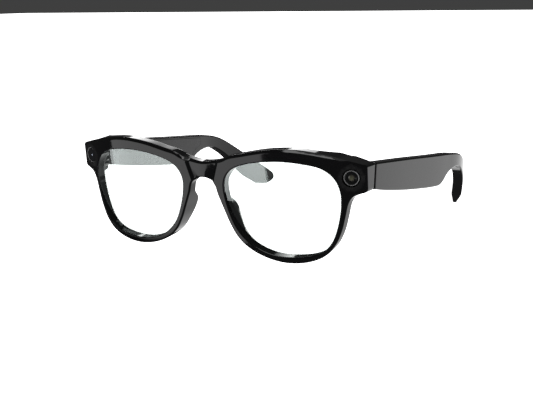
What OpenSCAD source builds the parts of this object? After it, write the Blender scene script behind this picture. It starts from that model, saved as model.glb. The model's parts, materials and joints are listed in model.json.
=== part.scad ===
// Smart glasses with a camera, an indicator light, folding temples, a capture button and a power switch.
// +X is the wearer's left, +Y points back towards the ears and +Z is up. The glasses stand on the
// bottoms of the two rims and on the two temple tips.

/* [Front] */
// How far the front leans, with its top edge forward, in degrees
front_lean = 4.9; // [3:0.1:7]
// Depth of the rims round the lenses
rim_depth = 4.8; // [4.2:0.1:5.4]
// Depth of the brow above the lenses
brow_depth = 6; // [5.4:0.1:6.4]
// How far the sides of the bridge fall back beside its crown
bridge_step = 1; // [0.4:0.1:1.2]
// Half the width across the endpieces
endpiece_x = 71.5; // [71:0.1:72]

/* [Lenses] */
// Thickness of each lens
lens_thickness = 1.8; // [1.6:0.1:2]
// Distance from the front face of the rim to the lens
lens_recess = 1.2; // [1:0.1:1.4]
// How far the lens reaches into the groove of the rim
lens_grip = 0.9; // [0.7:0.1:1]

/* [Camera and light] */
// Sideways turn of the camera and the light from straight ahead, in degrees
camera_toe = 14; // [10:1:18]
// Radius of the round window over the camera and over the light
window_r = 3.1; // [3:0.05:3.15]
// Radius of the ring round each window
trim_r = 3.7; // [3.6:0.05:3.75]

/* [Temples] */
// Downward slope of the temples, in degrees
temple_drop = 5.95; // [5.85:0.05:6.05]
// Thickness of a temple
temple_thickness = 5.4; // [5.2:0.1:5.6]
// Thickness of the temple's outer wall
wall = 1.2; // [1:0.1:1.3]
// Thickness of the cover on the temple's inner side
cover_thickness = 1; // [0.8:0.1:1]

/* [Hinges] */
// Distance of the hinge pins from the middle
hinge_x = 65.6; // [65.4:0.1:65.7]
// Radius of the hinge knuckles
knuckle_r = 1.5; // [1.4:0.05:1.55]
// Radius of the hinge pin
pin_r = 0.6; // [0.5:0.05:0.7]

/* [Controls] */
// Length of the capture button
button_l = 9; // [8:0.5:10]
// Travel of the capture button
button_travel = 0.4; // [0.3:0.05:0.4]
// Travel of the power switch
switch_travel = 2.2; // [1.8:0.1:2.4]

/* [Hidden] */
$fn = 48;

front_y = -75.8;
front_z = 24.7;
hinge_y = front_y + 17.7;
hinge_z = front_z + 12.3;
clear = 0.05;
contact_x = [-2.4, 2.4];
contact_z = 11;
contact_r = 0.75;
hinge_screw_x = 68.4;
button_y = 25;
button_foot = 3.35;
hinge_screw_z = 1.7;
leaf_screw_y = [4.6, 7.4];
black = [0.05, 0.05, 0.055];
dark_grey = [0.2, 0.2, 0.21];
steel = [0.62, 0.63, 0.65];
board_green = [0.05, 0.22, 0.12];
film_orange = [0.55, 0.3, 0.08];

// Outlines of the front seen from ahead, right half, as [x, z] from the middle of the lenses' height
opening_points = [
    [61.4, 4.5], [59.2, 11.5], [54, 15.7], [46.5, 17.3], [38, 17.9], [28.6, 17.3], [20, 15.6],
    [14.2, 13], [10.9, 8.6], [10.6, 3], [12.6, -5], [16.3, -12.6], [23, -18.6], [32.5, -21.8],
    [43, -21.8], [52, -19.6], [57.3, -14.6], [60.4, -5.5]
];
lower_points = [
    [0, 8.8], [5.3, 6.5], [7.2, 1.5], [9.7, -4.5], [12.2, -10.3], [15.6, -15.8], [20.5, -20],
    [28, -23.3], [37, -24.9], [46, -24.1], [53.5, -21.2], [58.3, -16.4], [61.2, -10],
    [62.9, -3.5], [64.2, 1.8], [66.5, 4.8], [endpiece_x, 6.4]
];
upper_points = [
    [endpiece_x, 17.2], [64, 19.4], [55, 21.5], [46, 22.8], [38.5, 23], [29, 22.1], [20, 20.3],
    [13.5, 18.9], [8.7, 16.9], [0, 15.6]
];
flex_points = [[1, 12.2], [8, 14.2], [20, 17.9], [38, 20.4], [52, 18.9], [61, 15.6], [62.2, 14.2]];

// Outlines of a temple seen from the side, as [y, z] from the hinge pin
temple_front = -1.8;
temple_top_points = [
    [137, -17], [131, -13], [121, -7.2], [111, -1.4], [101, 3.2], [92, 5.2], [80, 5.7], [60, 5.6],
    [30, 5.6], [temple_front, 5.4]
];
temple_bottom_points = [
    [temple_front, -5.3], [10, -6.6], [30, -8], [50, -8.8], [62, -9], [69, -8.7], [73.5, -6.9],
    [78, -4], [84, -1.9], [90, -1.1], [96, -1.9], [104, -5.6], [113, -12], [121, -18.5], [128, -23]
];
temple_tip_points = [[128, -23], [134.5, -23.2], [138.2, -20.4], [137, -17]];
// Middle of the temple's thickness seen from above, as [y, x]
temple_mid_points = [
    [temple_front, 69], [40, 69.8], [75, 70.6], [94, 70.6], [108, 68.2], [120, 64], [134.5, 57.8], [142, 54.6]
];
// Outline of the space for the electronics
cavity_points = [
    [11, -5.2], [30, -6.4], [50, -7.2], [70, -6.8], [74.5, -1.6], [80, 1.2], [80, 3.8], [11, 3.8]
];

function reversed(p) = [for (i = [len(p) - 1:-1:0]) p[i]];
function mirrored(p) = [for (q = p) [-q[0], q[1]]];
function tail(p) = [for (i = [1:len(p) - 1]) p[i]];
function middle(p) = [for (i = [1:len(p) - 2]) p[i]];
function spline(a, b, c, d, t) =
    (2 * b + (c - a) * t + (2 * a - 5 * b + 4 * c - d) * t * t + (3 * b - a - 3 * c + d) * t * t * t) / 2;
// A smooth line through the points p, with n steps between each two
function curve(p, n) =
    let (q = concat([2 * p[0] - p[1]], p, [2 * p[len(p) - 1] - p[len(p) - 2]]))
    concat(
        [for (i = [1:len(p) - 1], k = [0:n - 1]) spline(q[i - 1], q[i], q[i + 1], q[i + 2], k / n)],
        [p[len(p) - 1]]);
// A smooth closed line through the points p
function loop(p, n) =
    let (m = len(p))
    [for (i = [0:m - 1], k = [0:n - 1]) spline(p[(i + m - 1) % m], p[i], p[(i + 1) % m], p[(i + 2) % m], k / n)];
// A closed line that runs anticlockwise, moved outwards by d
function grown(p, d) =
    let (m = len(p))
    [for (i = [0:m - 1]) let (t = p[(i + 1) % m] - p[(i + m - 1) % m]) p[i] + d * [t[1], -t[0]] / norm(t)];
// How far the face of the front falls back at a distance x from the middle
function wrap(x) = x * x / 1613 + pow(x / 45, 4);

opening = loop(opening_points, 5);
front_outline = concat(
    curve(concat(reversed(mirrored(tail(lower_points))), lower_points), 4),
    curve(concat(upper_points, tail(reversed(mirrored(upper_points)))), 4));
temple_outline = concat(
    curve(temple_top_points, 4),
    curve(temple_bottom_points, 4),
    middle(curve(temple_tip_points, 4)));
temple_line = curve(temple_mid_points, 6);
function mid_x(y) = lookup(y, temple_line);
temple_steps = concat([for (y = [-4:4:88]) y], [for (y = [91:3:145]) y]);

// Places a shape drawn in the front's own frame, upright with its origin on the bridge
module in_front() {
    translate([0, front_y, front_z]) rotate([front_lean, 0, 0]) children();
}

// Places a shape drawn in the left temple's own frame, level with its origin in the hinge
module in_temple() {
    translate([0, hinge_y, hinge_z]) rotate([-temple_drop, 0, 0]) children();
}

// Puts a shape on the wearer's left, or mirrors it to the right
module on_side(side) {
    if (side == "left") children();
    else mirror([1, 0, 0]) children();
}

module both_sides() {
    children();
    mirror([1, 0, 0]) children();
}

// An outline of [x, z] points made solid from y0 back to y1
module through(points, y0 = -6, y1 = 30) {
    translate([0, y1, 0]) rotate([90, 0, 0]) linear_extrude(height = y1 - y0) polygon(points);
}

// A slab that follows the wrap of the front, from y0 to y1 behind its face
module wrapped_slab(y0, y1) {
    steps = [for (x = [-76:4:76]) x];
    translate([0, 0, -40])
        linear_extrude(height = 80)
            polygon(concat(
                [for (x = steps) [x, wrap(x) + y0]],
                [for (x = reversed(steps)) [x, wrap(x) + y1]]));
}

// An outline of [y, z] points made solid across x0 to x1
module across(points, x0, x1) {
    translate([x0, 0, 0]) rotate([90, 0, 90]) linear_extrude(height = x1 - x0) polygon(points);
}

// A slab along a temple, from x0 to x1 outwards of the middle of its thickness
module temple_slab(x0, x1) {
    translate([0, 0, -40])
        linear_extrude(height = 60)
            polygon(concat(
                [for (y = temple_steps) [mid_x(y) + x0, y]],
                [for (y = reversed(temple_steps)) [mid_x(y) + x1, y]]));
}

// A bar with its corners at two points
module block(low, high) {
    translate(low) cube(high - low);
}

// Places a shape whose axis is +Y on the centre of a camera or light window
module in_window() {
    x = 65.7;
    z = 12.2;
    in_front() translate([x, wrap(x), z]) rotate([0, 0, camera_toe]) children();
}

// A round plate or plug across y0 to y1
module disc(r, y0, y1) {
    translate([0, y1, 0]) rotate([90, 0, 0]) cylinder(h = y1 - y0, r = r);
}

module washer(outer_r, inner_r, y0, y1) {
    difference() {
        disc(outer_r, y0, y1);
        disc(inner_r, y0 - 1, y1 + 1);
    }
}

// The block behind each end of the brow, cut square to the temple
module endpiece() {
    intersection() {
        in_temple() across([[-16, 4.1], [-2.1, 5.4], [-2.1, -5.4], [-16, -6.6]], 62.6, endpiece_x);
        in_front() wrapped_slab(0, 20);
    }
}

// The shoulder that leads from the back of the brow into each endpiece
module shoulder() {
    intersection() {
        through(front_outline);
        translate([0, 0, 15.5])
            linear_extrude(height = 10)
                polygon([
                    [50, wrap(50) + 2], [50, wrap(50) + brow_depth], [57, wrap(57) + 7.8],
                    [60, wrap(60) + 9.2], [62.7, 17.1], [62.7, wrap(62.7) + 2]]);
    }
}

// The pad moulded on the nose side of a rim
module nose_pad() {
    hull() {
        translate([10, 3.2, 0.5]) sphere(r = 1.4, $fn = 24);
        translate([19.4, 3.4, -18.4]) sphere(r = 1.2, $fn = 24);
        translate([10.2, 7.4, -3]) sphere(r = 1.5, $fn = 24);
        translate([11.2, 8.4, -6.5]) sphere(r = 1.6, $fn = 24);
        translate([13.4, 7, -12.2]) sphere(r = 1.5, $fn = 24);
        translate([17.4, 5.9, -16.6]) sphere(r = 1.4, $fn = 24);
    }
}

module pockets() {
    // Window, barrel and board of the camera and of the light
    both_sides() in_window() {
        disc(trim_r + clear, -3, 1.25);
        disc(2.7, 1, 5.2);
        block([-2.6, 4.9, -2.6], [2.6, 6.1, 2.6]);
    }
    // Slots for the hinge leaves
    both_sides() in_temple() hinge_slot();
    // Channel for the flat cable
    in_front() flex_strip(0.55, 3.05, 3.55);
    // Room for the microphone and the charging contacts
    in_front() {
        disc_down(0.65, [0, 2.6, 12.4], 8);
        for (x = contact_x) translate([x, 0, contact_z]) disc(contact_r + clear, 3.2, 8);
    }
}

// A short round hole that leaves downwards from a point
module disc_down(r, top, h) {
    translate(top - [0, 0, h]) cylinder(h = h, r = r, $fn = 24);
}

module bridge_facets() {
    // Each facet falls from the crease beside the rim to the edge of the bridge's crown
    both_sides()
        translate([8.9, 0, 17.2]) rotate([0, 18, 0]) translate([0, 0, -16])
            linear_extrude(height = 22)
                polygon([[0.6, -2], [0, 0], [-1.6, bridge_step], [-5.2, 0.4], [-9, 0], [-9, -2]]);
}

module front_frame() color(black) {
    difference() {
        union() {
            in_front() intersection() {
                through(front_outline);
                wrapped_slab(0, rim_depth);
            }
            in_front() intersection() {
                through(front_outline);
                wrapped_slab(1, brow_depth);
                block([-80, -5, 12], [80, 30, 40]);
            }
            both_sides() endpiece();
            in_front() both_sides() shoulder();
            in_front() both_sides() nose_pad();
        }
        in_front() both_sides() through(opening);
        in_front() both_sides() lens_blank(lens_grip + clear, clear);
        pockets();
    }
}

// A lens that reaches past the edge of the opening by grip, with slack added to both faces
module lens_blank(grip, slack) {
    intersection() {
        through(grown(opening, grip));
        wrapped_slab(lens_recess - slack, lens_recess + lens_thickness + slack);
    }
}

module lens(side) color([0.82, 0.86, 0.85, 0.35]) {
    on_side(side) in_front() lens_blank(lens_grip, 0);
}

module trim_ring() {
    in_window() washer(trim_r, window_r + clear, 0.3, 1.2);
}

module window_disc() {
    in_window() disc(window_r, 0.45, 1.05);
}

module camera_barrel() color(black) {
    in_window() difference() {
        disc(2.6, 1.3, 4.8);
        disc(1.5, 1, 3.4);
        disc(1, 3, 6);
    }
}

module camera_lens_element() color([0.2, 0.22, 0.16, 0.6]) {
    in_window() disc(1.45, 1.6, 2.6);
}

module camera_sensor_board() color(board_green) {
    in_window() {
        block([-2.5, 5.2, -2.5], [2.5, 5.9, 2.5]);
        block([-1.6, 4.85, -1.6], [1.6, 5.3, 1.6]);
    }
}

module indicator_led() color([0.9, 0.93, 1]) {
    on_side("right") in_window() block([-0.6, 4.3, -0.6], [0.6, 4.85, 0.6]);
}

module led_board() color(board_green) {
    on_side("right") in_window() difference() {
        block([-2.5, 4.9, -2.5], [2.5, 5.5, 2.5]);
        block([-0.3, 4, 1.9], [0.3, 6, 2.6]);
    }
}

// The flat cable's channel: a strip along the brow, half as tall as half_h each way
module flex_strip(half_h, y0, y1) {
    line = curve(flex_points, 4);
    side = concat(
        [for (q = line) q + [0, half_h]],
        [for (q = reversed(line)) q - [0, half_h]]);
    intersection() {
        both_sides() through(concat([[-0.01, line[0][1] - half_h], [-0.01, line[0][1] + half_h]], side));
        wrapped_slab(y0, y1);
    }
}

module brow_flex_cable() color(film_orange) {
    in_front() flex_strip(0.5, 3.15, 3.45);
}

module bridge_microphone() color(dark_grey) {
    in_front() disc_down(0.6, [0, 2.6, 11], 1.4);
}

module charging_contacts() color([0.83, 0.66, 0.3]) {
    in_front() for (x = contact_x) translate([x, 0, contact_z]) disc(contact_r, 3.3, 4.6);
}

// The seat of the front leaf in the rear face of the endpiece, with its two screw holes
module hinge_slot() {
    block([63.3, -3.25, -3.05], [70.25, -2, 3.05]);
    front_leaf_holes(0.46, -4.5);
}

module front_leaf_holes(r, y0) {
    for (z = [-hinge_screw_z, hinge_screw_z]) translate([hinge_screw_x, 0, z]) disc(r, y0, -2, $fn = 24);
}

module front_hinge_leaf(side) color(steel) {
    on_side(side) in_temple() difference() {
        union() {
            for (z = [[-3, -1.1], [1.1, 3]]) {
                translate([hinge_x, 0, z[0]]) cylinder(h = z[1] - z[0], r = knuckle_r);
                block([hinge_x - 0.5, -2.4, z[0]], [hinge_x + 0.5, 0, z[1]]);
            }
            block([63.4, -3.2, -3], [70.2, -2.3, 3]);
        }
        translate([hinge_x, 0, -4]) cylinder(h = 8, r = pin_r + 0.01);
        front_leaf_holes(0.5, -4);
        for (z = [-hinge_screw_z, hinge_screw_z]) translate([hinge_screw_x, 0, z]) disc(0.9, -2.65, -2, $fn = 24);
    }
}

module front_leaf_screws(side) color(steel) {
    on_side(side) in_temple() for (z = [-hinge_screw_z, hinge_screw_z])
        translate([hinge_screw_x, 0, z]) difference() {
            union() {
                disc(0.45, -4.4, -2.6, $fn = 24);
                disc(0.85, -2.65, -2.35, $fn = 24);
            }
            block([-0.6, -2.5, -0.1], [0.6, -2, 0.1]);
        }
}

module hinge_pin(side) color(steel) {
    on_side(side) in_temple() translate([hinge_x, 0, 0]) {
        translate([0, 0, -3.1]) cylinder(h = 6.2, r = pin_r);
        difference() {
            translate([0, 0, 3.02]) cylinder(h = 0.6, r = 1.1);
            block([-0.15, -2, 3.35], [0.15, 2, 4]);
        }
    }
}

module temple_hinge_leaf(side) color(steel) {
    on_side(side) in_temple() difference() {
        union() {
            translate([hinge_x, 0, -1]) cylinder(h = 2, r = knuckle_r);
            block([hinge_x - 0.4, 0, -1], [hinge_x + 1.4, 2.2, 1]);
            block([hinge_x + 0.6, 2, -2.6], [hinge_x + 1.4, 9, 2.6]);
        }
        translate([hinge_x, 0, -2]) cylinder(h = 4, r = pin_r + 0.05);
        leaf_holes(0.5, 3);
    }
}

// The holes of the two leaf screws, from the inner face of the leaf outwards
module leaf_holes(r, depth) {
    for (y = leaf_screw_y)
        translate([hinge_x + 0.2, y, 0]) rotate([0, 90, 0]) cylinder(h = depth, r = r, $fn = 24);
}

module leaf_screws(side) color(steel) {
    on_side(side) in_temple() for (y = leaf_screw_y) difference() {
        translate([hinge_x + 0.3, y, 0]) rotate([0, 90, 0]) {
            cylinder(h = 0.3, r = 0.85, $fn = 24);
            cylinder(h = 3, r = 0.45, $fn = 24);
        }
        translate([hinge_x, y - 0.1, -0.6]) cube([0.45, 0.2, 1.2]);
    }
}

module temple_blank(x0, x1) {
    intersection() {
        across(temple_outline, 40, 80);
        temple_slab(x0, x1);
    }
}

module temple_shell(side) color(black) {
    half = temple_thickness / 2;
    on_side(side) in_temple() difference() {
        temple_blank(-half, half);
        // Room for the electronics
        intersection() {
            across(cavity_points, 40, 80);
            temple_slab(-half - 1, half - wall);
        }
        // Seat of the inner cover
        intersection() {
            across(grown(cavity_points, 0.6 + clear), 40, 80);
            temple_slab(-half - 1, -half + cover_thickness + clear);
        }
        // Hinge leaf, its screws and its knuckles
        block([hinge_x - 3, -3, -2.7], [hinge_x + 1.45, 9.1, 2.7]);
        translate([hinge_x, 0, -3.2]) cylinder(h = 7, r = knuckle_r + 0.25);
        leaf_holes(0.46, 3.3);
        // Way in for the flat cable
        block([hinge_x + 2.2, -3, 2.9], [hinge_x + 2.9, 12, 3.6]);
        if (side == "right") button_slot(0.1);
    }
}

module temple_cover(side) color(black) {
    half = temple_thickness / 2;
    on_side(side) in_temple() difference() {
        intersection() {
            across(grown(cavity_points, 0.6), 40, 80);
            temple_slab(-half, -half + cover_thickness);
        }
        grille_slot(clear);
        if (side == "left") switch_slot();
    }
}

// The seat of the loudspeaker's grille in the inner cover
module grille_slot(slack) {
    x = mid_x(62) - temple_thickness / 2;
    block([x - 1, 57 - slack, -5.2 - slack], [x + cover_thickness + 1, 67 + slack, -3 + slack]);
}

module speaker_grille(side) color(dark_grey) {
    x = mid_x(62) - temple_thickness / 2 + 0.25;
    on_side(side) in_temple() difference() {
        block([x, 57, -5.2], [x + 0.5, 67, -3]);
        for (k = [0:6])
            translate([x - 1, 58.4 + 1.2 * k, -4.1]) rotate([0, 90, 0]) cylinder(h = 3, r = 0.35, $fn = 16);
    }
}

module speaker(side) color(dark_grey) {
    x = mid_x(62) - temple_thickness / 2 + cover_thickness + 0.3;
    on_side(side) in_temple() difference() {
        block([x, 56, -6.2], [x + 2.5, 68, 1.6]);
        block([x - 1, 57.5, -5], [x + 0.4, 66.5, -3.2]);
    }
}

module temple_microphone(side) color(steel) {
    on_side(side) in_temple() block([68.6, 13.5, -4.4], [69.6, 17, -1.8]);
}

module temple_flex(side) color(film_orange) {
    end = side == "left" ? 20.5 : 17.5;
    on_side(side) in_temple() block([hinge_x + 2.45, -1.6, 3], [hinge_x + 2.65, end, 3.5]);
}

// A plate or block along a temple: x0 to x1 from the middle of its thickness, cut to y and z limits
module temple_plate(x0, x1, low, high) {
    intersection() {
        temple_slab(x0, x1);
        block([60, low[0], low[1]], [80, high[0], high[1]]);
    }
}

module main_board() color(board_green) {
    in_temple() {
        temple_plate(0.4, 1, [20.6, -5.4], [54, 3.4]);
        for (y = [23, 28, 46]) temple_plate(0.95, 1.35, [y, -3], [y + 3.4, 0.4]);
    }
}

module shield_can() color(steel) {
    in_temple() difference() {
        temple_plate(-0.8, 0.4, [26, -4.4], [50, 2.4]);
        temple_plate(-0.5, 0.5, [26.3, -4.1], [49.7, 2.1]);
    }
}

// The opening in the cover that the power switch slides in
module switch_slot() {
    block([64, 12.3, -0.9], [69, 16.2 + switch_travel, 1.3]);
}

module power_switch() color(dark_grey) {
    x = mid_x(15) - temple_thickness / 2;
    in_temple() {
        block([x - 0.5, 12.5, -0.7], [x + 1.05, 16, 1.1]);
        for (y = [13.2, 14.1, 15]) block([x - 0.7, y, -0.7], [x - 0.4, y + 0.3, 1.1]);
        block([x + 1.05, 12.2, -1.4], [x + 1.35, 16.3, 1.8]);
    }
}

module switch_base() color(black) {
    x = mid_x(15) - temple_thickness / 2 + 1.5;
    in_temple() block([x, 11.4, -1.5], [x + 0.8, 20, 2.4]);
}

module in_temple_right() {
    mirror([1, 0, 0]) in_temple() children();
}

module battery() color([0.3, 0.32, 0.36]) {
    in_temple_right() temple_plate(-1.2, 0.9, [34, -5.8], [54, 3]);
}

module touch_sensor() color(film_orange) {
    in_temple_right() temple_plate(1.2, 1.4, [18, -3.6], [52, 1.2]);
}

// The button's stem, or its slot with slack all round
module button_slot(slack) {
    translate([mid_x(button_y), button_y, 0]) rounded_bar(button_l + 2 * slack, 2.6 + 2 * slack, 2, 9);
}

// An upright bar with round ends along y
module rounded_bar(l, w, z0, z1) {
    block([-w / 2, -(l - w) / 2, z0], [w / 2, (l - w) / 2, z1]);
    for (s = [-1, 1]) translate([0, s * (l - w) / 2, z0]) cylinder(h = z1 - z0, r = w / 2, $fn = 32);
}

module capture_button() color(black) {
    in_temple_right() translate([mid_x(button_y), button_y, 0]) {
        block([-1.4, -button_l / 2 - 0.6, button_foot], [1.4, button_l / 2 + 0.6, 3.7]);
        rounded_bar(button_l, 2.6, 3.6, 5.8);
        rounded_bar(button_l - 0.6, 2, 5.8, 6);
    }
}

module button_dome() color(steel) {
    top = button_foot - button_travel - clear;
    in_temple_right() translate([mid_x(button_y), button_y, 0]) {
        translate([0, 0, 2.5]) cylinder(h = 0.25, r = 1.1);
        translate([0, 0, 2.7]) cylinder(h = top - 2.7, r = 0.6);
    }
}

module button_board() color(board_green) {
    in_temple_right() translate([mid_x(button_y), button_y, 0]) block([-1.3, -6.5, 1.9], [1.2, 6.5, 2.5]);
}

front_frame();
lens("left");  // lens_left
lens("right");  // lens_right
color([0.03, 0.03, 0.03, 0.6]) window_disc();  // camera_window
color(dark_grey) trim_ring();  // camera_trim_ring
camera_barrel();
camera_lens_element();
camera_sensor_board();
color([0.03, 0.03, 0.03, 0.6]) on_side("right") window_disc();  // led_window
color(dark_grey) on_side("right") trim_ring();  // led_trim_ring
indicator_led();
led_board();
brow_flex_cable();
bridge_microphone();
charging_contacts();
front_hinge_leaf("left");  // front_hinge_leaf_left
front_hinge_leaf("right");  // front_hinge_leaf_right
front_leaf_screws("left");  // front_leaf_screws_left
front_leaf_screws("right");  // front_leaf_screws_right
hinge_pin("left");  // hinge_pin_left
hinge_pin("right");  // hinge_pin_right
temple_shell("left");  // temple_shell_left
temple_shell("right");  // temple_shell_right
temple_cover("left");  // temple_cover_left
temple_cover("right");  // temple_cover_right
temple_hinge_leaf("left");  // temple_hinge_leaf_left
temple_hinge_leaf("right");  // temple_hinge_leaf_right
leaf_screws("left");  // leaf_screws_left
leaf_screws("right");  // leaf_screws_right
temple_flex("left");  // temple_flex_left
temple_flex("right");  // temple_flex_right
speaker("left");  // speaker_left
speaker("right");  // speaker_right
speaker_grille("left");  // speaker_grille_left
speaker_grille("right");  // speaker_grille_right
temple_microphone("left");  // temple_microphone_left
temple_microphone("right");  // temple_microphone_right
main_board();
shield_can();
power_switch();
switch_base();
battery();
touch_sensor();
capture_button();
button_dome();
button_board();
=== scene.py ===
"""Smart glasses on a pale floor: polished black plastic, clear lenses, camera and light windows."""
import json
import math

import bmesh
import bpy
import numpy as np
from mathutils import Matrix, Vector
from mathutils.geometry import delaunay_2d_cdt


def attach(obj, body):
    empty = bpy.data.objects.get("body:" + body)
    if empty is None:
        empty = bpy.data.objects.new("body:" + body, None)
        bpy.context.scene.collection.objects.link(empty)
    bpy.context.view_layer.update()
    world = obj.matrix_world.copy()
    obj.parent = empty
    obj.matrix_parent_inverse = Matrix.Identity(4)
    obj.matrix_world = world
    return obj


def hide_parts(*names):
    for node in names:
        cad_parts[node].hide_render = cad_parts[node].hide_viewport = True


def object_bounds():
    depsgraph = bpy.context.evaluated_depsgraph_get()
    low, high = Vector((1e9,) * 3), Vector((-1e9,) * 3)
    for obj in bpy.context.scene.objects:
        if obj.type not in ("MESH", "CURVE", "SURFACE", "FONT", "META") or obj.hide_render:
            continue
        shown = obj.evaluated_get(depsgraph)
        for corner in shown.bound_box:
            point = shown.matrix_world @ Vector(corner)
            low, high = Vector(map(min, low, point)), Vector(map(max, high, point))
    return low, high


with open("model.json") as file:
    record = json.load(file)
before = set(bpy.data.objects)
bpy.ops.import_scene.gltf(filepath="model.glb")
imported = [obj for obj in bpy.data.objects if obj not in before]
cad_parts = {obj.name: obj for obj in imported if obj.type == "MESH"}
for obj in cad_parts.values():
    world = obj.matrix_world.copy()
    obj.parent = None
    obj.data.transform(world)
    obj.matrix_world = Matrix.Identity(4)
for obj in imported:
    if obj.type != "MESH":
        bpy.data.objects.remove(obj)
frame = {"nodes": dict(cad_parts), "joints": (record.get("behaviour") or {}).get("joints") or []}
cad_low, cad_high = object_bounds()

MM = 0.001

# ---------------------------------------------------------------- places, in millimetres

joints = {j["name"]: j for j in frame["joints"]}
hinge = Vector(joints["left_temple_fold"]["pos_m"]) / MM
temple_drop = math.asin(joints["left_temple_fold"]["axis"][1])
front_lean = math.radians(4.9)
hinge_behind_face = 17.7
hinge_above_middle = 12.3
front_y = hinge.y - hinge_behind_face
front_z = hinge.z - hinge_above_middle

in_front = Matrix.Translation((0, front_y, front_z)) @ Matrix.Rotation(front_lean, 4, "X")
in_temple = Matrix.Translation((0, hinge.y, hinge.z)) @ Matrix.Rotation(-temple_drop, 4, "X")
mirror_x = Matrix.Scale(-1, 4, (1, 0, 0))
SIDES = {"left": Matrix.Identity(4), "right": mirror_x}

# Front, right half seen from ahead, as (x, z) from the middle of the lenses' height
endpiece_x = 71.5
opening_points = [
    (61.4, 4.5), (59.2, 11.5), (54, 15.7), (46.5, 17.3), (38, 17.9), (28.6, 17.3), (20, 15.6),
    (14.2, 13), (10.9, 8.6), (10.6, 3), (12.6, -5), (16.3, -12.6), (23, -18.6), (32.5, -21.8),
    (43, -21.8), (52, -19.6), (57.3, -14.6), (60.4, -5.5)]
lower_points = [
    (0, 8.8), (5.3, 6.5), (7.2, 1.5), (9.7, -4.5), (12.2, -10.3), (15.6, -15.8), (20.5, -20),
    (28, -23.3), (37, -24.9), (46, -24.1), (53.5, -21.2), (58.3, -16.4), (61.2, -10),
    (62.9, -3.5), (64.2, 1.8), (66.5, 4.8), (endpiece_x, 6.4)]
upper_points = [
    (endpiece_x, 17.2), (64, 19.4), (55, 21.5), (46, 22.8), (38.5, 23), (29, 22.1), (20, 20.3),
    (13.5, 18.9), (8.7, 16.9), (0, 15.6)]
rim_depth = 4.8
brow_depth = 6
bridge_step = 0.95
crown_fall = 0.3
seam_y = -2.1
lens_recess = 0.6
lens_thickness = 1.6
lens_grip = 0.85

# Temple seen from the side, as (y, z) from the hinge pin, and its middle seen from above, as (y, x)
temple_front = -1.8
temple_half = 2.7
temple_top_points = [
    (137, -17), (131, -13), (121, -7.2), (111, -1.4), (101, 3.2), (92, 5.2), (80, 5.7), (60, 5.6),
    (30, 5.6), (temple_front, 5.4)]
temple_bottom_points = [
    (temple_front, -5.3), (10, -6.6), (30, -8), (50, -8.8), (62, -9), (69, -8.7), (73.5, -6.9),
    (78, -4), (84, -1.9), (90, -1.1), (96, -1.9), (104, -5.6), (113, -12), (121, -18.5), (128, -23)]
temple_tip_points = [(128, -23), (134.5, -23.2), (138.2, -20.4), (137, -17)]
temple_mid_points = [
    (temple_front - 6, 68.9), (temple_front, 69), (40, 69.8), (75, 70.6), (94, 70.6), (108, 68.2), (120, 64),
    (134.5, 57.8), (142, 54.6)]
cavity_points = [
    (11, -5.2), (30, -6.4), (50, -7.2), (70, -6.8), (74.5, -1.6), (80, 1.2), (80, 3.8), (11, 3.8)]

window_x, window_z = 65.7, 12.2
window_toe = math.radians(14)
pocket_r = 3.75

# ---------------------------------------------------------------- outlines


def spline(a, b, c, d, t):
    return (2 * b + (c - a) * t + (2 * a - 5 * b + 4 * c - d) * t ** 2 + (3 * b - a - 3 * c + d) * t ** 3) / 2


def curve(points, steps=16):
    """A smooth open line through the points."""
    p = np.array(points, float)
    q = np.vstack([2 * p[0] - p[1], p, 2 * p[-1] - p[-2]])
    out = [spline(*q[i:i + 4], k / steps) for i in range(len(p) - 1) for k in range(steps)]
    return np.array(out + [p[-1]])


def loop(points, steps=16):
    """A smooth closed line through the points."""
    p = np.array(points, float)
    q = np.vstack([p[-1:], p, p[:2]])
    return np.array([spline(*q[i:i + 4], k / steps) for i in range(len(p)) for k in range(steps)])


def flipped(points):
    """The points mirrored to the other side of the middle, in the opposite order."""
    return (np.array(points, float) * (-1, 1))[::-1]


def even(points, spacing, closed=False):
    """Points at even steps along a line."""
    p = np.vstack([points, points[:1]]) if closed else np.array(points, float)
    along = np.r_[0, np.cumsum(np.hypot(*np.diff(p, axis=0).T))]
    count = max(2, round(along[-1] / spacing))
    at = np.linspace(0, along[-1], count + 1)
    line = np.column_stack([np.interp(at, along, p[:, k]) for k in range(2)])
    return line[:-1] if closed else line


def joined(runs, radius):
    """A closed outline from open lines that meet end to end, with a round corner where they meet."""
    trimmed = []
    for run in runs:
        from_start = np.hypot(*(run - run[0]).T)
        from_end = np.hypot(*(run - run[-1]).T)
        trimmed.append(run[(from_start > radius) & (from_end > radius)])
    out = []
    for i, run in enumerate(trimmed):
        after = trimmed[(i + 1) % len(trimmed)][0]
        corner = runs[i][-1]
        arc = [(1 - t) ** 2 * run[-1] + 2 * t * (1 - t) * corner + t * t * after
               for t in (0.2, 0.4, 0.6, 0.8)]
        out.extend([run, np.array(arc)])
    return np.vstack(out)


def inset(outline, d):
    """An anticlockwise closed line moved inwards by d."""
    t = np.roll(outline, -1, 0) - np.roll(outline, 1, 0)
    t /= np.hypot(*t.T)[:, None]
    return outline + np.reshape(d, (-1, 1)) * np.column_stack([-t[:, 1], t[:, 0]])


def inside(points, outline):
    """Which points lie within a closed line."""
    x, y = points[:, 0][:, None], points[:, 1][:, None]
    ax, ay = outline.T
    bx, by = np.roll(outline, -1, 0).T
    crosses = (ay > y) != (by > y)
    with np.errstate(divide="ignore", invalid="ignore"):
        at = ax + (y - ay) * (bx - ax) / (by - ay)
    return (crosses & (x < at)).sum(1) % 2 == 1


def smooth_step(v, low, high):
    t = np.clip((np.asarray(v, float) - low) / (high - low), 0, 1)
    return t * t * (3 - 2 * t)


# ---------------------------------------------------------------- mesh building


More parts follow.
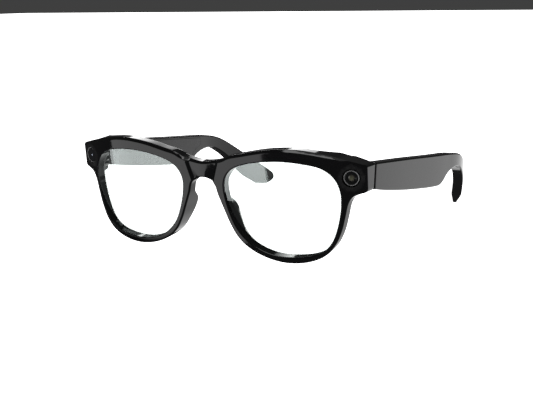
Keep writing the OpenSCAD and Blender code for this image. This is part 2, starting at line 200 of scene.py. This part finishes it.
def piece(name, verts, faces, matrix, material, body, replaces, sharp=26):
    """A smooth-shaded mesh object from millimetre points, placed by matrix and riding on a body."""
    mesh = bpy.data.meshes.new(name)
    mesh.from_pydata([tuple(v) for v in verts], [], faces)
    mesh.transform(Matrix.Scale(MM, 4) @ matrix)
    bm = bmesh.new()
    bm.from_mesh(mesh)
    bmesh.ops.recalc_face_normals(bm, faces=bm.faces)
    bm.to_mesh(mesh)
    bm.free()
    mesh.polygons.foreach_set("use_smooth", [True] * len(mesh.polygons))
    mesh.set_sharp_from_angle(angle=math.radians(sharp))
    mesh.materials.append(material)
    obj = bpy.data.objects.new(name, mesh)
    bpy.context.collection.objects.link(obj)
    weighted = obj.modifiers.new("even_shading", "WEIGHTED_NORMAL")
    weighted.keep_sharp = True
    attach(obj, body)
    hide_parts(*replaces)


class Sheets:
    """A closed solid between two faces w = face(u, v), gathered ring by ring."""

    def __init__(self, place, spacing):
        self.place = place
        self.spacing = spacing
        self.verts = []
        self.faces = []

    def ring(self, line, w):
        start = len(self.verts)
        self.verts.extend(self.place(line[:, 0], line[:, 1], w))
        return np.arange(start, len(self.verts))

    def bridge(self, a, b):
        n = len(a)
        for i in range(n):
            j = (i + 1) % n
            self.faces.append((int(a[i]), int(a[j]), int(b[j]), int(b[i])))

    def fill(self, outer, holes, height, creases=()):
        """Closes a face between its rings, each given as (line, indices)."""
        rings = [outer, *holes]
        lines = [r[0] for r in rings]
        known = np.vstack(lines)
        index = list(np.concatenate([r[1] for r in rings]))
        edges = []
        start = 0
        for line in lines:
            n = len(line)
            edges += [(start + i, start + (i + 1) % n) for i in range(n)]
            start += n
        extra = []
        for line in creases:
            keep = inside(line, lines[0]) & (np.min(
                np.hypot(*(line[:, None] - known[None]).transpose(2, 0, 1)), 1) > 0.12)
            line = line[keep]
            edges += [(start + i, start + i + 1) for i in range(len(line) - 1)]
            start += len(line)
            extra.append(line)
        near = np.vstack([known, *extra])
        low, high = lines[0].min(0), lines[0].max(0)
        us = np.arange(low[0], high[0], self.spacing)
        vs = np.arange(low[1], high[1], self.spacing * 0.87)
        grid = np.array([(u + (k % 2) * self.spacing / 2, v) for k, v in enumerate(vs) for u in us])
        keep = inside(grid, lines[0])
        for line in lines[1:]:
            keep &= ~inside(grid, line)
        grid = grid[keep]
        if len(grid):
            gap = np.min(np.hypot(*(grid[:, None] - near[None]).transpose(2, 0, 1)), 1)
            grid = grid[gap > 0.6 * self.spacing]
        extra.append(grid)
        extra = np.vstack([e for e in extra if len(e)] or [np.zeros((0, 2))])
        if len(extra):
            index += list(self.ring(extra, height(extra[:, 0], extra[:, 1])))
        points = np.vstack([known, extra])
        made = delaunay_2d_cdt([Vector(p) for p in points], edges, [], 0, 1e-7)
        spots, triangles, origins = made[0], made[2], made[3]
        place = []
        for spot, origin in zip(spots, origins):
            if origin:
                place.append(index[origin[0]])
            else:
                at = np.array([spot])
                place.append(self.ring(at, height(at[:, 0], at[:, 1]))[0])
        centres = np.array([np.mean([spots[i] for i in t], 0) for t in triangles])
        keep = inside(centres, lines[0])
        for line in lines[1:]:
            keep &= ~inside(centres, line)
        for good, t in zip(keep, triangles):
            if good:
                self.faces.append(tuple(int(place[i]) for i in t))

    def edge(self, line, side, face_a, face_b, edge_a, edge_b, scale=1):
        """The wall along one closed line. Returns its rings on the two faces."""
        steps = [(d * scale, e * scale, face_a) for d, e in edge_a]
        steps += [(d * scale, -e * scale, face_b) for d, e in reversed(edge_b)]
        rings = []
        for d, e, face in steps:
            moved = inset(line, d * side)
            rings.append((moved, self.ring(moved, face(moved[:, 0], moved[:, 1]) + e)))
        for a, b in zip(rings, rings[1:]):
            self.bridge(a[1], b[1])
        return rings[0], rings[-1]

    def pocket(self, line, steps, face, drift):
        """A recess with the closed line as its mouth. Returns the mouth's ring."""
        rings = []
        for d, e in steps:
            moved = inset(line, d)
            w = face(moved[:, 0], moved[:, 1]) + e
            moved = moved + np.array(drift) * e
            rings.append((moved, self.ring(moved, w)))
        for a, b in zip(rings, rings[1:]):
            self.bridge(a[1], b[1])
        depth = steps[-1][1]
        self.fill(rings[-1], [], lambda u, v: face(u, v) + depth)
        return rings[0]


def slab(place, spacing, outline, holes, face_a, face_b, edge_a, edge_b, pockets=(), creases=(), softness=1):
    """A closed solid with soft edges between two faces, and pockets in the first of them. The outer edge
    is softness times its profile."""
    made = Sheets(place, spacing)
    walls = [made.edge(outline, 1, face_a, face_b, edge_a, edge_b, softness)]
    finer = [(0.6 * d, 0.6 * e) for d, e in edge_a]
    walls += [made.edge(h, -1, face_a, face_b, finer, edge_b) for h in holes]
    mouths = [made.pocket(line, steps, face_a, drift) for line, steps, drift in pockets]
    made.fill(walls[0][0], [w[0] for w in walls[1:]] + mouths, face_a, creases)
    made.fill(walls[0][1], [w[1] for w in walls[1:]], face_b)
    return made


# Edge profiles as (distance in from the outline, depth below the face)
crisp_edge = [
    (0.75, 0), (0.64, 0.01), (0.57, 0.04), (0.51, 0.09), (0.1, 0.5), (0.04, 0.58), (0.01, 0.66), (0, 0.76)]
temple_edge = [
    (0.85, 0), (0.7, 0.012), (0.5, 0.06), (0.33, 0.16), (0.17, 0.32), (0.07, 0.5), (0.02, 0.68), (0, 0.85)]
round_edge = [
    (0.68, 0), (0.55, 0.01), (0.4, 0.05), (0.26, 0.13), (0.13, 0.26), (0.05, 0.4), (0.01, 0.55), (0, 0.7)]
lens_edge = [(0.3, 0), (0.15, 0.02), (0.04, 0.08), (0, 0.2)]
panel_edge = [(0.16, 0), (0.1, 0.006), (0.04, 0.03), (0, 0.1)]

# ---------------------------------------------------------------- materials


def new_material(name):
    material = bpy.data.materials.new(name)
    material.use_nodes = True
    tree = material.node_tree
    tree.nodes.clear()
    out = tree.nodes.new("ShaderNodeOutputMaterial")
    return material, tree, out


def add(tree, kind, **inputs):
    node = tree.nodes.new(kind)
    for key, value in inputs.items():
        node.inputs[key.replace("_", " ")].default_value = value
    return node


def noise(tree, coords, scale, detail, roughness, stretch=(1, 1, 1)):
    mapping = add(tree, "ShaderNodeMapping")
    mapping.inputs["Scale"].default_value = stretch
    tree.links.new(coords.outputs["Object"], mapping.inputs["Vector"])
    node = add(tree, "ShaderNodeTexNoise", Scale=scale, Detail=detail, Roughness=roughness)
    tree.links.new(mapping.outputs["Vector"], node.inputs["Vector"])
    return node


def spread(tree, source, low, high, to_low, to_high):
    node = add(tree, "ShaderNodeMapRange")
    for key, value in zip(("From Min", "From Max", "To Min", "To Max"), (low, high, to_low, to_high)):
        node.inputs[key].default_value = value
    tree.links.new(source, node.inputs["Value"])
    return node.outputs["Result"]


def plastic(name, colour, rough_low, rough_high, ripple=0.02, worn=0.35):
    """Moulded plastic: faint smears in its polish, fine grain, and edges a little paler with wear."""
    material, tree, out = new_material(name)
    coords = tree.nodes.new("ShaderNodeTexCoord")
    shader = add(tree, "ShaderNodeBsdfPrincipled", IOR=1.5)
    smears = noise(tree, coords, 90, 5, 0.6, (1, 0.5, 1))
    tree.links.new(spread(tree, smears.outputs["Fac"], 0.35, 0.7, rough_low, rough_high),
                   shader.inputs["Roughness"])
    shape = tree.nodes.new("ShaderNodeNewGeometry")
    wear_noise = noise(tree, coords, 700, 6, 0.7)
    wear = add(tree, "ShaderNodeMath")
    wear.operation = "MULTIPLY"
    tree.links.new(spread(tree, shape.outputs["Pointiness"], 0.53, 0.62, 0, worn), wear.inputs[0])
    tree.links.new(wear_noise.outputs["Fac"], wear.inputs[1])
    tint = add(tree, "ShaderNodeMix")
    tint.data_type = "RGBA"
    tint.inputs["A"].default_value = (*colour, 1)
    tint.inputs["B"].default_value = (*[0.06 + 1.6 * c for c in colour], 1)
    tree.links.new(wear.outputs[0], tint.inputs["Factor"])
    tree.links.new(tint.outputs["Result"], shader.inputs["Base Color"])
    grain = noise(tree, coords, 420, 3, 0.5)
    scratches = noise(tree, coords, 2600, 2, 0.6, (1, 0.08, 1))
    both = add(tree, "ShaderNodeMath")
    both.operation = "MULTIPLY_ADD"
    both.inputs[1].default_value = 0.25
    tree.links.new(scratches.outputs["Fac"], both.inputs[0])
    tree.links.new(grain.outputs["Fac"], both.inputs[2])
    bump = add(tree, "ShaderNodeBump", Strength=ripple, Distance=0.0002)
    tree.links.new(both.outputs[0], bump.inputs["Height"])
    tree.links.new(bump.outputs["Normal"], shader.inputs["Normal"])
    tree.links.new(shader.outputs["BSDF"], out.inputs["Surface"])
    return material


def metal(name, colour, rough, brushed=0.1, metallic=1.0):
    """Turned or stamped metal with fine brushing and darker grime in patches."""
    material, tree, out = new_material(name)
    coords = tree.nodes.new("ShaderNodeTexCoord")
    shader = add(tree, "ShaderNodeBsdfPrincipled", Metallic=metallic)
    patches = noise(tree, coords, 300, 5, 0.6)
    tint = add(tree, "ShaderNodeMix")
    tint.data_type = "RGBA"
    tint.inputs["A"].default_value = (*[0.7 * c for c in colour], 1)
    tint.inputs["B"].default_value = (*colour, 1)
    tree.links.new(spread(tree, patches.outputs["Fac"], 0.3, 0.6, 0, 1), tint.inputs["Factor"])
    tree.links.new(tint.outputs["Result"], shader.inputs["Base Color"])
    lines = noise(tree, coords, 3000, 2, 0.5, (1, 0.1, 1))
    tree.links.new(spread(tree, lines.outputs["Fac"], 0.3, 0.7, rough * 0.75, rough * 1.3),
                   shader.inputs["Roughness"])
    bump = add(tree, "ShaderNodeBump", Strength=brushed, Distance=0.0001)
    tree.links.new(lines.outputs["Fac"], bump.inputs["Height"])
    tree.links.new(bump.outputs["Normal"], shader.inputs["Normal"])
    tree.links.new(shader.outputs["BSDF"], out.inputs["Surface"])
    return material


def board(name, colour, trace):
    """Solder mask or film with copper traces showing through."""
    material, tree, out = new_material(name)
    coords = tree.nodes.new("ShaderNodeTexCoord")
    shader = add(tree, "ShaderNodeBsdfPrincipled", Roughness=0.4)
    cells = add(tree, "ShaderNodeTexVoronoi", Scale=1100.0)
    cells.distance = "CHEBYCHEV"
    tree.links.new(coords.outputs["Object"], cells.inputs["Vector"])
    tint = add(tree, "ShaderNodeMix")
    tint.data_type = "RGBA"
    tint.inputs["A"].default_value = (*trace, 1)
    tint.inputs["B"].default_value = (*colour, 1)
    tree.links.new(spread(tree, cells.outputs["Distance"], 0.1, 0.22, 0, 1), tint.inputs["Factor"])
    tree.links.new(tint.outputs["Result"], shader.inputs["Base Color"])
    bump = add(tree, "ShaderNodeBump", Strength=0.3, Distance=0.0001)
    tree.links.new(cells.outputs["Distance"], bump.inputs["Height"])
    tree.links.new(bump.outputs["Normal"], shader.inputs["Normal"])
    tree.links.new(shader.outputs["BSDF"], out.inputs["Surface"])
    return material


def clear_lens(name):
    """Clear lens with a faintly green anti-glare coating and a trace of smearing."""
    material, tree, out = new_material(name)
    coords = tree.nodes.new("ShaderNodeTexCoord")
    through = add(tree, "ShaderNodeBsdfTransparent", Color=(0.965, 0.985, 0.975, 1))
    shine = add(tree, "ShaderNodeBsdfGlossy", Color=(0.93, 1.0, 0.99, 1))
    smears = noise(tree, coords, 60, 5, 0.6)
    tree.links.new(spread(tree, smears.outputs["Fac"], 0.35, 0.7, 0.01, 0.05), shine.inputs["Roughness"])
    share = add(tree, "ShaderNodeLayerWeight", Blend=0.5)
    mix = tree.nodes.new("ShaderNodeMixShader")
    tree.links.new(spread(tree, share.outputs["Facing"], 0.3, 1.0, 0.17, 0.6), mix.inputs["Fac"])
    tree.links.new(through.outputs["BSDF"], mix.inputs[1])
    tree.links.new(shine.outputs["BSDF"], mix.inputs[2])
    tree.links.new(mix.outputs["Shader"], out.inputs["Surface"])
    return material


def coated_glass(name, colour, rim, radius, centre, rough=0.03):
    """Dark glass whose coating shifts in tone from the middle to the rim."""
    material, tree, out = new_material(name)
    coords = tree.nodes.new("ShaderNodeTexCoord")
    away = tree.nodes.new("ShaderNodeVectorMath")
    away.operation = "DISTANCE"
    away.inputs[1].default_value = centre
    tree.links.new(coords.outputs["Object"], away.inputs[0])
    tint = add(tree, "ShaderNodeMix")
    tint.data_type = "RGBA"
    tint.inputs["A"].default_value = (*colour, 1)
    tint.inputs["B"].default_value = (*rim, 1)
    tree.links.new(spread(tree, away.outputs["Value"], 0, radius, 0, 1), tint.inputs["Factor"])
    shader = add(tree, "ShaderNodeBsdfPrincipled", IOR=1.55)
    shader.inputs["Coat Weight"].default_value = 0.5
    tree.links.new(tint.outputs["Result"], shader.inputs["Base Color"])
    dust = noise(tree, coords, 900, 5, 0.6)
    tree.links.new(spread(tree, dust.outputs["Fac"], 0.4, 0.8, rough, rough * 4), shader.inputs["Roughness"])
    tree.links.new(shader.outputs["BSDF"], out.inputs["Surface"])
    return material


frame_plastic = plastic("polished_frame", (0.0022, 0.0022, 0.0024), 0.04, 0.075)
temple_plastic = plastic("polished_temple", (0.0024, 0.0024, 0.0026), 0.05, 0.09)
inner_plastic = plastic("inner_panel", (0.006, 0.006, 0.0063), 0.14, 0.22, 0.05)
button_plastic = plastic("button_cap", (0.009, 0.009, 0.0095), 0.06, 0.12)
switch_plastic = plastic("switch_cap", (0.02, 0.02, 0.021), 0.35, 0.5, 0.2)
matte_plastic = plastic("matte_black", (0.008, 0.008, 0.008), 0.5, 0.65, 0.3)
speaker_plastic = plastic("speaker_case", (0.03, 0.03, 0.032), 0.45, 0.6, 0.3)
hinge_steel = metal("hinge_steel", (0.12, 0.12, 0.125), 0.4)
trim_metal = metal("ring_metal", (0.16, 0.16, 0.162), 0.45, 0.1, 0.2)
grille_metal = metal("grille_metal", (0.06, 0.06, 0.062), 0.4)
gold = metal("contact_gold", (0.85, 0.62, 0.25), 0.22)
foil = metal("battery_foil", (0.45, 0.46, 0.48), 0.35, 0.4)
mask_green = board("board_green", (0.01, 0.09, 0.045), (0.1, 0.16, 0.05))
film = board("flex_film", (0.32, 0.14, 0.03), (0.5, 0.25, 0.08))
lens_clear = clear_lens("lens_clear")

# ---------------------------------------------------------------- front


def wrap(x):
    """How far the face of the front falls back at a distance x from the middle."""
    return x ** 2 / 1613 + (x / 45) ** 4


def crease_x(z):
    """Where the bridge meets the rim, at height z."""
    return 8.9 + (z - 17.2) * math.tan(math.radians(18))


def front_face(x, z):
    """The face with the bridge's crown and the narrow facets beside it."""
    ax = np.abs(x)
    edge = crease_x(z)
    valley = edge - 1.5
    crown = crown_fall + (bridge_step - crown_fall) * np.abs(ax / valley) ** 1.15
    facet = bridge_step + (wrap(edge) - bridge_step) * (ax - valley) / (edge - valley)
    return np.where(ax < valley, crown, np.where(ax < edge, facet, wrap(x)))


def seam_plane(z):
    """The depth of the joint between endpiece and temple at height z of the front."""
    turn = front_lean + temple_drop
    level = seam_y + hinge_behind_face * math.cos(temple_drop) - hinge_above_middle * math.sin(temple_drop)
    return (level + z * math.sin(turn)) / math.cos(turn)


# The nose side of the rim as x at height z, and how far the moulded nose pad stands back behind the rim there
nose_edge = curve(lower_points[:9])[::-1].T[::-1]
pad_line = curve([
    (-22, 0), (-20, 0.8), (-16.7, 2.6), (-12.5, 3.5), (-8.6, 4.8), (-5.4, 5.4), (-2.9, 4.8), (-0.8, 2.7),
    (1.2, 0.6), (3, 0.2), (6, 0)]).T


def rear_face(x, z):
    """The back of the front. It is deeper along the brow, reaches the seam at the endpieces, and carries
    the nose pads."""
    ax = np.abs(x)
    plain = wrap(x) + rim_depth + (brow_depth - rim_depth) * smooth_step(z, 8, 13)
    shoulder = np.clip((ax - 46) / 17, 0, 1) ** 3 * smooth_step(z, 13.5, 17)
    block = np.maximum(smooth_step(ax, 62.2, 63) * smooth_step(z, 4, 5.6), shoulder)
    from_edge = (ax - np.interp(z, *nose_edge)) * 0.9
    pad = np.interp(z, *pad_line) * (1 - smooth_step(from_edge, 0.8, 2.7))
    return plain + block * (seam_plane(z) - plain) + pad


def place_front(x, z, y):
    """Behind its face each endpiece follows the drop of the temples."""
    follow = 0.1 * smooth_step(np.abs(x), 58, 62)
    return np.column_stack([x, y, z - follow * (y - wrap(x))])


def window_outline(sign):
    turn = np.linspace(0, 2 * math.pi, 64, endpoint=False)
    return np.column_stack([
        sign * window_x + pocket_r * math.cos(window_toe) * np.cos(turn),
        window_z + pocket_r * np.sin(turn)])


front_step = 0.8
lower = np.vstack([flipped(lower_points[1:]), lower_points])
upper = np.vstack([upper_points, flipped(upper_points[:-1])])
side_edge = np.array([(endpiece_x, 6.4), (endpiece_x, 17.2)], float)
front_outline = joined([
    even(curve(lower), front_step), even(side_edge, front_step / 2),
    even(curve(upper), front_step), even(flipped(side_edge), front_step / 2)], 0.8)
opening = even(loop(opening_points), front_step, closed=True)
openings = [opening, flipped(opening)]
# Steps of the window's pocket as (distance in from its mouth, depth)
window_pocket = [(0.12, 0), (0.02, 0.04), (0, 0.15), (0, 1.25), (1.1, 1.3), (1.1, 4.8)]
window_pockets = [
    (window_outline(s), window_pocket, (-s * math.tan(window_toe), 0)) for s in (1, -1)]
heights = np.arange(5.5, 18, 0.35)
creases = [
    np.column_stack([sign * (crease_x(heights) - back), heights]) for sign in (1, -1) for back in (0, 1.5)]
outline_x, outline_z = front_outline.T
brow_softness = 1 + 0.9 * smooth_step(outline_z, 12, 18) * (1 - smooth_step(np.abs(outline_x), 55, 64))
front = slab(place_front, 1.3, front_outline, openings, front_face, rear_face, crisp_edge, round_edge,
             pockets=window_pockets, creases=creases, softness=brow_softness)
piece("front_shell", front.verts, front.faces, in_front, frame_plastic, "front",
      ["front_frame"])


def lens_face(x, z):
    """The lens is also curved from top to bottom, and leans in a little more than the rim."""
    return wrap(x) + lens_recess - 0.011 * (x - 36) - 0.045 * z + z ** 2 / 300


def lens_back(x, z):
    return lens_face(x, z) + lens_thickness


def place_lens(x, z, y):
    return np.column_stack([x, y, z])


lens_outline = inset(opening, -lens_grip)
lens = slab(place_lens, 1.8, lens_outline, [], lens_face, lens_back, lens_edge, lens_edge)
for side, flip in SIDES.items():
    piece(f"lens_glass_{side}", lens.verts, lens.faces, flip @ in_front, lens_clear, "front",
          [f"lens_{side}"])

# ---------------------------------------------------------------- camera and light windows

window_place = Matrix.Translation((window_x, wrap(window_x), window_z))
at_window = in_front @ window_place @ Matrix.Rotation(window_toe, 4, "Z")


def turned(name, profile, matrix, material, body, replaces, segments=96):
    """A ring or dome turned round the window's axis, from (radius, depth) points. Radius 0 closes it."""
    verts, faces = [], []
    rows = []
    for r, y in profile:
        start = len(verts)
        if r == 0:
            verts.append((0, y, 0))
            rows.append([start] * segments)
        else:
            turn = [2 * math.pi * k / segments for k in range(segments)]
            verts.extend((r * math.cos(a), y, r * math.sin(a)) for a in turn)
            rows.append(list(range(start, start + segments)))
    pairs = list(zip(rows, rows[1:]))
    if profile[0][0] and profile[-1][0]:
        pairs.append((rows[-1], rows[0]))
    for a, b in pairs:
        for i in range(segments):
            j = (i + 1) % segments
            corners = [a[i], a[j], b[j], b[i]]
            faces.append(tuple(dict.fromkeys(corners)))
    piece(name, verts, faces, matrix, material, body, replaces, sharp=50)


ring_profile = [(3.1, 1.2), (3.14, 0.5), (3.1, 0.36), (3.02, 0.28), (2.86, 0.27), (2.77, 0.36), (2.75, 1.2)]
glass_profile = [(0, 0.9), (2.74, 0.9), (2.74, 0.5), (2.68, 0.42), (2.5, 0.39), (2.0, 0.37), (1.9, 0.39),
                 (1.3, 0.62), (0, 0.62)]
led_ring_profile = [(3.5, 1.2), (3.54, 0.5), (3.5, 0.36), (3.44, 0.29), (3.34, 0.28), (3.27, 0.36),
                    (3.25, 1.2)]
led_glass_profile = [(0, 0.9), (3.24, 0.9), (3.24, 0.5), (3.16, 0.42), (2.9, 0.39), (1.5, 0.36), (0.42, 0.36),
                     (0.36, 0.44), (0, 0.44)]
dome_profile = [(0, 0.85), (1.24, 0.85), (1.24, 0.6), (1.15, 0.53), (0.9, 0.43), (0.6, 0.35), (0.3, 0.305),
                (0, 0.29)]
led_profile = [(0, 0.6), (0.3, 0.6), (0.3, 0.42), (0.22, 0.37), (0, 0.35)]

camera_spot = (Matrix.Scale(MM, 4) @ at_window).translation
light_spot = camera_spot * Vector((-1, 1, 1))
window_tone_r = 3 * MM
element_tone_r = 1.2 * MM
window_glass = coated_glass(
    "window_glass", (0.0012, 0.0012, 0.0012), (0.002, 0.002, 0.0022), window_tone_r, camera_spot)
light_glass = coated_glass(
    "light_glass", (0.006, 0.006, 0.007), (0.004, 0.004, 0.0045), window_tone_r, light_spot)
camera_coating = coated_glass(
    "lens_coating", (0.05, 0.052, 0.03), (0.03, 0.028, 0.022), element_tone_r, camera_spot, 0.05)
turned("camera_bezel", ring_profile, at_window, trim_metal, "front", ["camera_trim_ring"])
turned("camera_cover_glass", glass_profile, at_window, window_glass, "front", ["camera_window"])
turned("camera_front_element", dome_profile, at_window, camera_coating, "front",
       ["camera_lens_element"])
at_light = mirror_x @ at_window
turned("light_bezel", led_ring_profile, at_light, trim_metal, "front", ["led_trim_ring"])
turned("light_cover_glass", led_glass_profile, at_light, light_glass, "front", ["led_window"])
led_white = plastic("led_white", (0.55, 0.62, 0.75), 0.25, 0.35)
turned("light_emitter", led_profile, at_light, led_white, "front", ["indicator_led"], 32)

# ---------------------------------------------------------------- temples

temple_line = curve(temple_mid_points)


def mid_x(y):
    """Middle of the temple's thickness at a distance y behind the hinge."""
    return np.interp(y, temple_line[:, 0], temple_line[:, 1])


def place_temple(y, z, x):
    return np.column_stack([x, y, z])


def half_at(z):
    """Half the temple's thickness, which thins out below the ear at the very tip."""
    return temple_half * (1 - 0.6 * smooth_step(-z, 17, 23.6))


def temple_outer(y, z):
    return mid_x(y) + half_at(z)


def temple_inner(y, z):
    return mid_x(y) - half_at(z)


def box_outline(y0, z0, y1, z1, r=0.5):
    """A rectangle with round corners."""
    corners = np.array([(y0, z0), (y1, z0), (y1, z1), (y0, z1)], float)
    runs = [even(np.array([corners[i], corners[(i + 1) % 4]]), 0.4) for i in range(4)]
    return joined(runs, r)


temple_step = 1.0
temple_outline = joined([
    even(curve(temple_top_points), temple_step),
    even(np.array([temple_top_points[-1], temple_bottom_points[0]], float), 0.5),
    even(np.vstack([curve(temple_bottom_points), curve(temple_tip_points)[1:]]), temple_step)], 0.8)
cover_line = even(np.array(cavity_points + cavity_points[:1], float), 0.8)[:-1]
cover_line = inset(cover_line, -0.6)
hinge_outline = box_outline(-1, -3.6, 9.1, 3.85)
grille_outline = box_outline(56.9, -5.3, 67.1, -2.9, 0.4)
switch_outline = box_outline(12.2, -1, 18.5, 1.4, 0.4)
panel_thickness = 0.9
panel_gap = 0.02

# Steps of the temple's pockets as (distance in from the mouth, depth)
cavity_seat = [(-0.05, 0), (-0.02, 0.04), (-0.02, 1.02), (0.6, 1.06), (0.6, 4.1)]
hinge_seat = [(0, 0), (0, 0.9)]


def panel_back(y, z):
    return temple_inner(y, z) + panel_thickness


for side, flip in SIDES.items():
    body = f"temple_{side}"
    seats = [(cover_line, cavity_seat, (0, 0)), (hinge_outline, hinge_seat, (0, 0))]
    shell = slab(place_temple, 2.2, temple_outline, [], temple_inner, temple_outer, round_edge, temple_edge,
                 pockets=seats)
    piece(f"temple_arm_{side}", shell.verts, shell.faces, flip @ in_temple, temple_plastic, body,
          [f"temple_shell_{side}"])
    cuts = [grille_outline, switch_outline] if side == "left" else [grille_outline]
    panel = slab(place_temple, 2.2, inset(cover_line, panel_gap), cuts, temple_inner, panel_back,
                 panel_edge, panel_edge)
    piece(f"temple_panel_{side}", panel.verts, panel.faces, flip @ in_temple, inner_plastic, body,
          [f"temple_cover_{side}"])

button_y = 25
button_half_length = 4.5
button_half_width = 1.3
button_top = 5.9
button_base = 3.5
cap_edge = [(0.55, 0), (0.42, 0.02), (0.25, 0.08), (0.08, 0.22), (0, 0.42)]
bar = box_outline(button_y - button_half_length, -button_half_width,
                  button_y + button_half_length, button_half_width, 1.1)
cap = slab(lambda y, x, z: np.column_stack([mid_x(button_y) + x, y, z]), 0.8, bar, [],
           lambda y, x: button_top - 0.06 * x ** 2, lambda y, x: button_base + 0 * x, cap_edge, panel_edge)
piece("button_cap", cap.verts, cap.faces, mirror_x @ in_temple, button_plastic, "button",
      ["capture_button"])

# ---------------------------------------------------------------- finishes of the CAD pieces

FINISHES = {
    "hinge_leaf": hinge_steel, "screws": hinge_steel, "hinge_pin": hinge_steel, "shield_can": hinge_steel,
    "button_dome": hinge_steel, "temple_microphone": hinge_steel, "board": mask_green, "flex": film,
    "touch_sensor": film, "battery": foil, "charging_contacts": gold, "speaker_grille": grille_metal,
    "speaker": speaker_plastic, "bridge_microphone": speaker_plastic, "camera_barrel": matte_plastic,
    "switch_base": matte_plastic, "power_switch": switch_plastic}
for name, node in frame["nodes"].items():
    if node.hide_render:
        continue
    finish = next(m for key, m in FINISHES.items() if key in name)
    node.data.materials.clear()
    node.data.materials.append(finish)
    if "leaf" in name or "switch" in name:
        bevel = node.modifiers.new("soft_edges", "BEVEL")
        bevel.width = 0.08 * MM
        bevel.segments = 2
        bevel.limit_method = "ANGLE"
        bevel.angle_limit = math.radians(50)

# ---------------------------------------------------------------- floor, light and camera

centre = (cad_low + cad_high) / 2


def flat_light(name, colour, strength):
    material, tree, out = new_material(name)
    glow = add(tree, "ShaderNodeEmission", Color=(*colour, 1), Strength=strength)
    tree.links.new(glow.outputs["Emission"], out.inputs["Surface"])
    return material


def light_panel(name, low, high, left, right, glow, steps=(48, 96)):
    """A soft light panel round the glasses, seen only in their gloss. It lies 1 m from the middle of the
    front, between elevations low and high and between the azimuths left and right, which may depend on
    the elevation. Azimuth 0 is ahead (-Y) and 90 is +X. glow(azimuth, elevation) is its brightness."""
    rows, columns = steps
    middle = Vector((0, front_y, front_z)) * MM
    verts, faces, shine = [], [], []
    for i in range(rows + 1):
        el = low + (high - low) * i / rows
        for k in range(columns + 1):
            az = left(el) + (right(el) - left(el)) * k / columns
            a, e = math.radians(az), math.radians(el)
            way = Vector((math.sin(a) * math.cos(e), -math.cos(a) * math.cos(e), math.sin(e)))
            verts.append(middle + way)
            shine.append(glow(az, el))
    wide = columns + 1
    for i in range(rows):
        for k in range(columns):
            at = i * wide + k
            faces.append((at, at + 1, at + wide + 1, at + wide))
    mesh = bpy.data.meshes.new(name)
    mesh.from_pydata(verts, [], faces)
    mesh.attributes.new("shine", "FLOAT", "POINT").data.foreach_set("value", shine)
    material, tree, out = new_material(name)
    glow_node = add(tree, "ShaderNodeEmission")
    strength = tree.nodes.new("ShaderNodeAttribute")
    strength.attribute_name = "shine"
    tree.links.new(strength.outputs["Fac"], glow_node.inputs["Strength"])
    tree.links.new(glow_node.outputs["Emission"], out.inputs["Surface"])
    mesh.materials.append(material)
    obj = bpy.data.objects.new(name, mesh)
    bpy.context.collection.objects.link(obj)
    obj.visible_camera = False
    obj.visible_diffuse = False
    obj.visible_shadow = False
    obj.visible_transmission = False


def ramp(v, low, high):
    return min(1, max(0, (v - low) / (high - low)))


light_panel("front_panel", -25, 14, lambda el: -63.2, lambda el: -23.4 - 1.6 * max(0, -20.8 - el),
            lambda az, el: 1.4 * ramp(el + 0.3 * (az + 63.5), -18.2, -15.8))
light_panel("high_panel", 60, 68, lambda el: -50, lambda el: 30, lambda az, el: 3.2, (2, 8))
light_panel("back_panel", 19, 32, lambda el: 200.5, lambda el: 225,
            lambda az, el: 4.5 - 3.3 * ramp(el, 21, 31), (30, 2))
light_panel("side_panel", -45, -3, lambda el: 110, lambda el: 205,
            lambda az, el: 1.0 + 0.85 * ramp(az, 150, 190) - 0.5 * ramp(-el, 20, 30))
light_panel("top_panel", 66, 89, lambda el: -180, lambda el: 180, lambda az, el: 0.5, (4, 24))

mesh = bpy.data.meshes.new("floor")
floor_reach = 6
floor_corners = [(x * floor_reach, y * floor_reach, 0) for x, y in ((-1, -1), (1, -1), (1, 1), (-1, 1))]
mesh.from_pydata(floor_corners, [], [(0, 1, 2, 3)])
mesh.materials.append(flat_light("pale_floor", (1, 1, 1), 2.2))
floor = bpy.data.objects.new("floor", mesh)
bpy.context.collection.objects.link(floor)
floor.visible_glossy = False

world = bpy.data.worlds.new("studio")
world.use_nodes = True
world.node_tree.nodes["Background"].inputs["Color"].default_value = (1, 1, 1, 1)
world.node_tree.nodes["Background"].inputs["Strength"].default_value = 0.05
bpy.context.scene.world = world

lamp = bpy.data.lights.new("overhead", "AREA")
lamp.size = 0.6
lamp.energy = 6
lamp_object = bpy.data.objects.new("overhead", lamp)
lamp_object.location = centre + Vector((0.1, -0.1, 0.8))
lamp_object.visible_glossy = False
bpy.context.collection.objects.link(lamp_object)

camera_data = bpy.data.cameras.new("camera")
camera_data.sensor_width = 36
camera_data.lens = 63.95
camera_data.clip_start = 0.01
camera = bpy.data.objects.new("camera", camera_data)
camera_turn = math.radians(30.584)
camera_rise = math.radians(12.075)
camera_roll = math.radians(-0.868)
camera_place = Matrix.Translation((0.2216, -0.3985, 0.1069))
aim = Matrix.Rotation(camera_turn, 4, "Z") @ Matrix.Rotation(math.pi / 2 - camera_rise, 4, "X")
camera.matrix_world = camera_place @ aim @ Matrix.Rotation(camera_roll, 4, "Z")
bpy.context.collection.objects.link(camera)
bpy.context.scene.camera = camera
bpy.context.scene.view_settings.view_transform = "Standard"
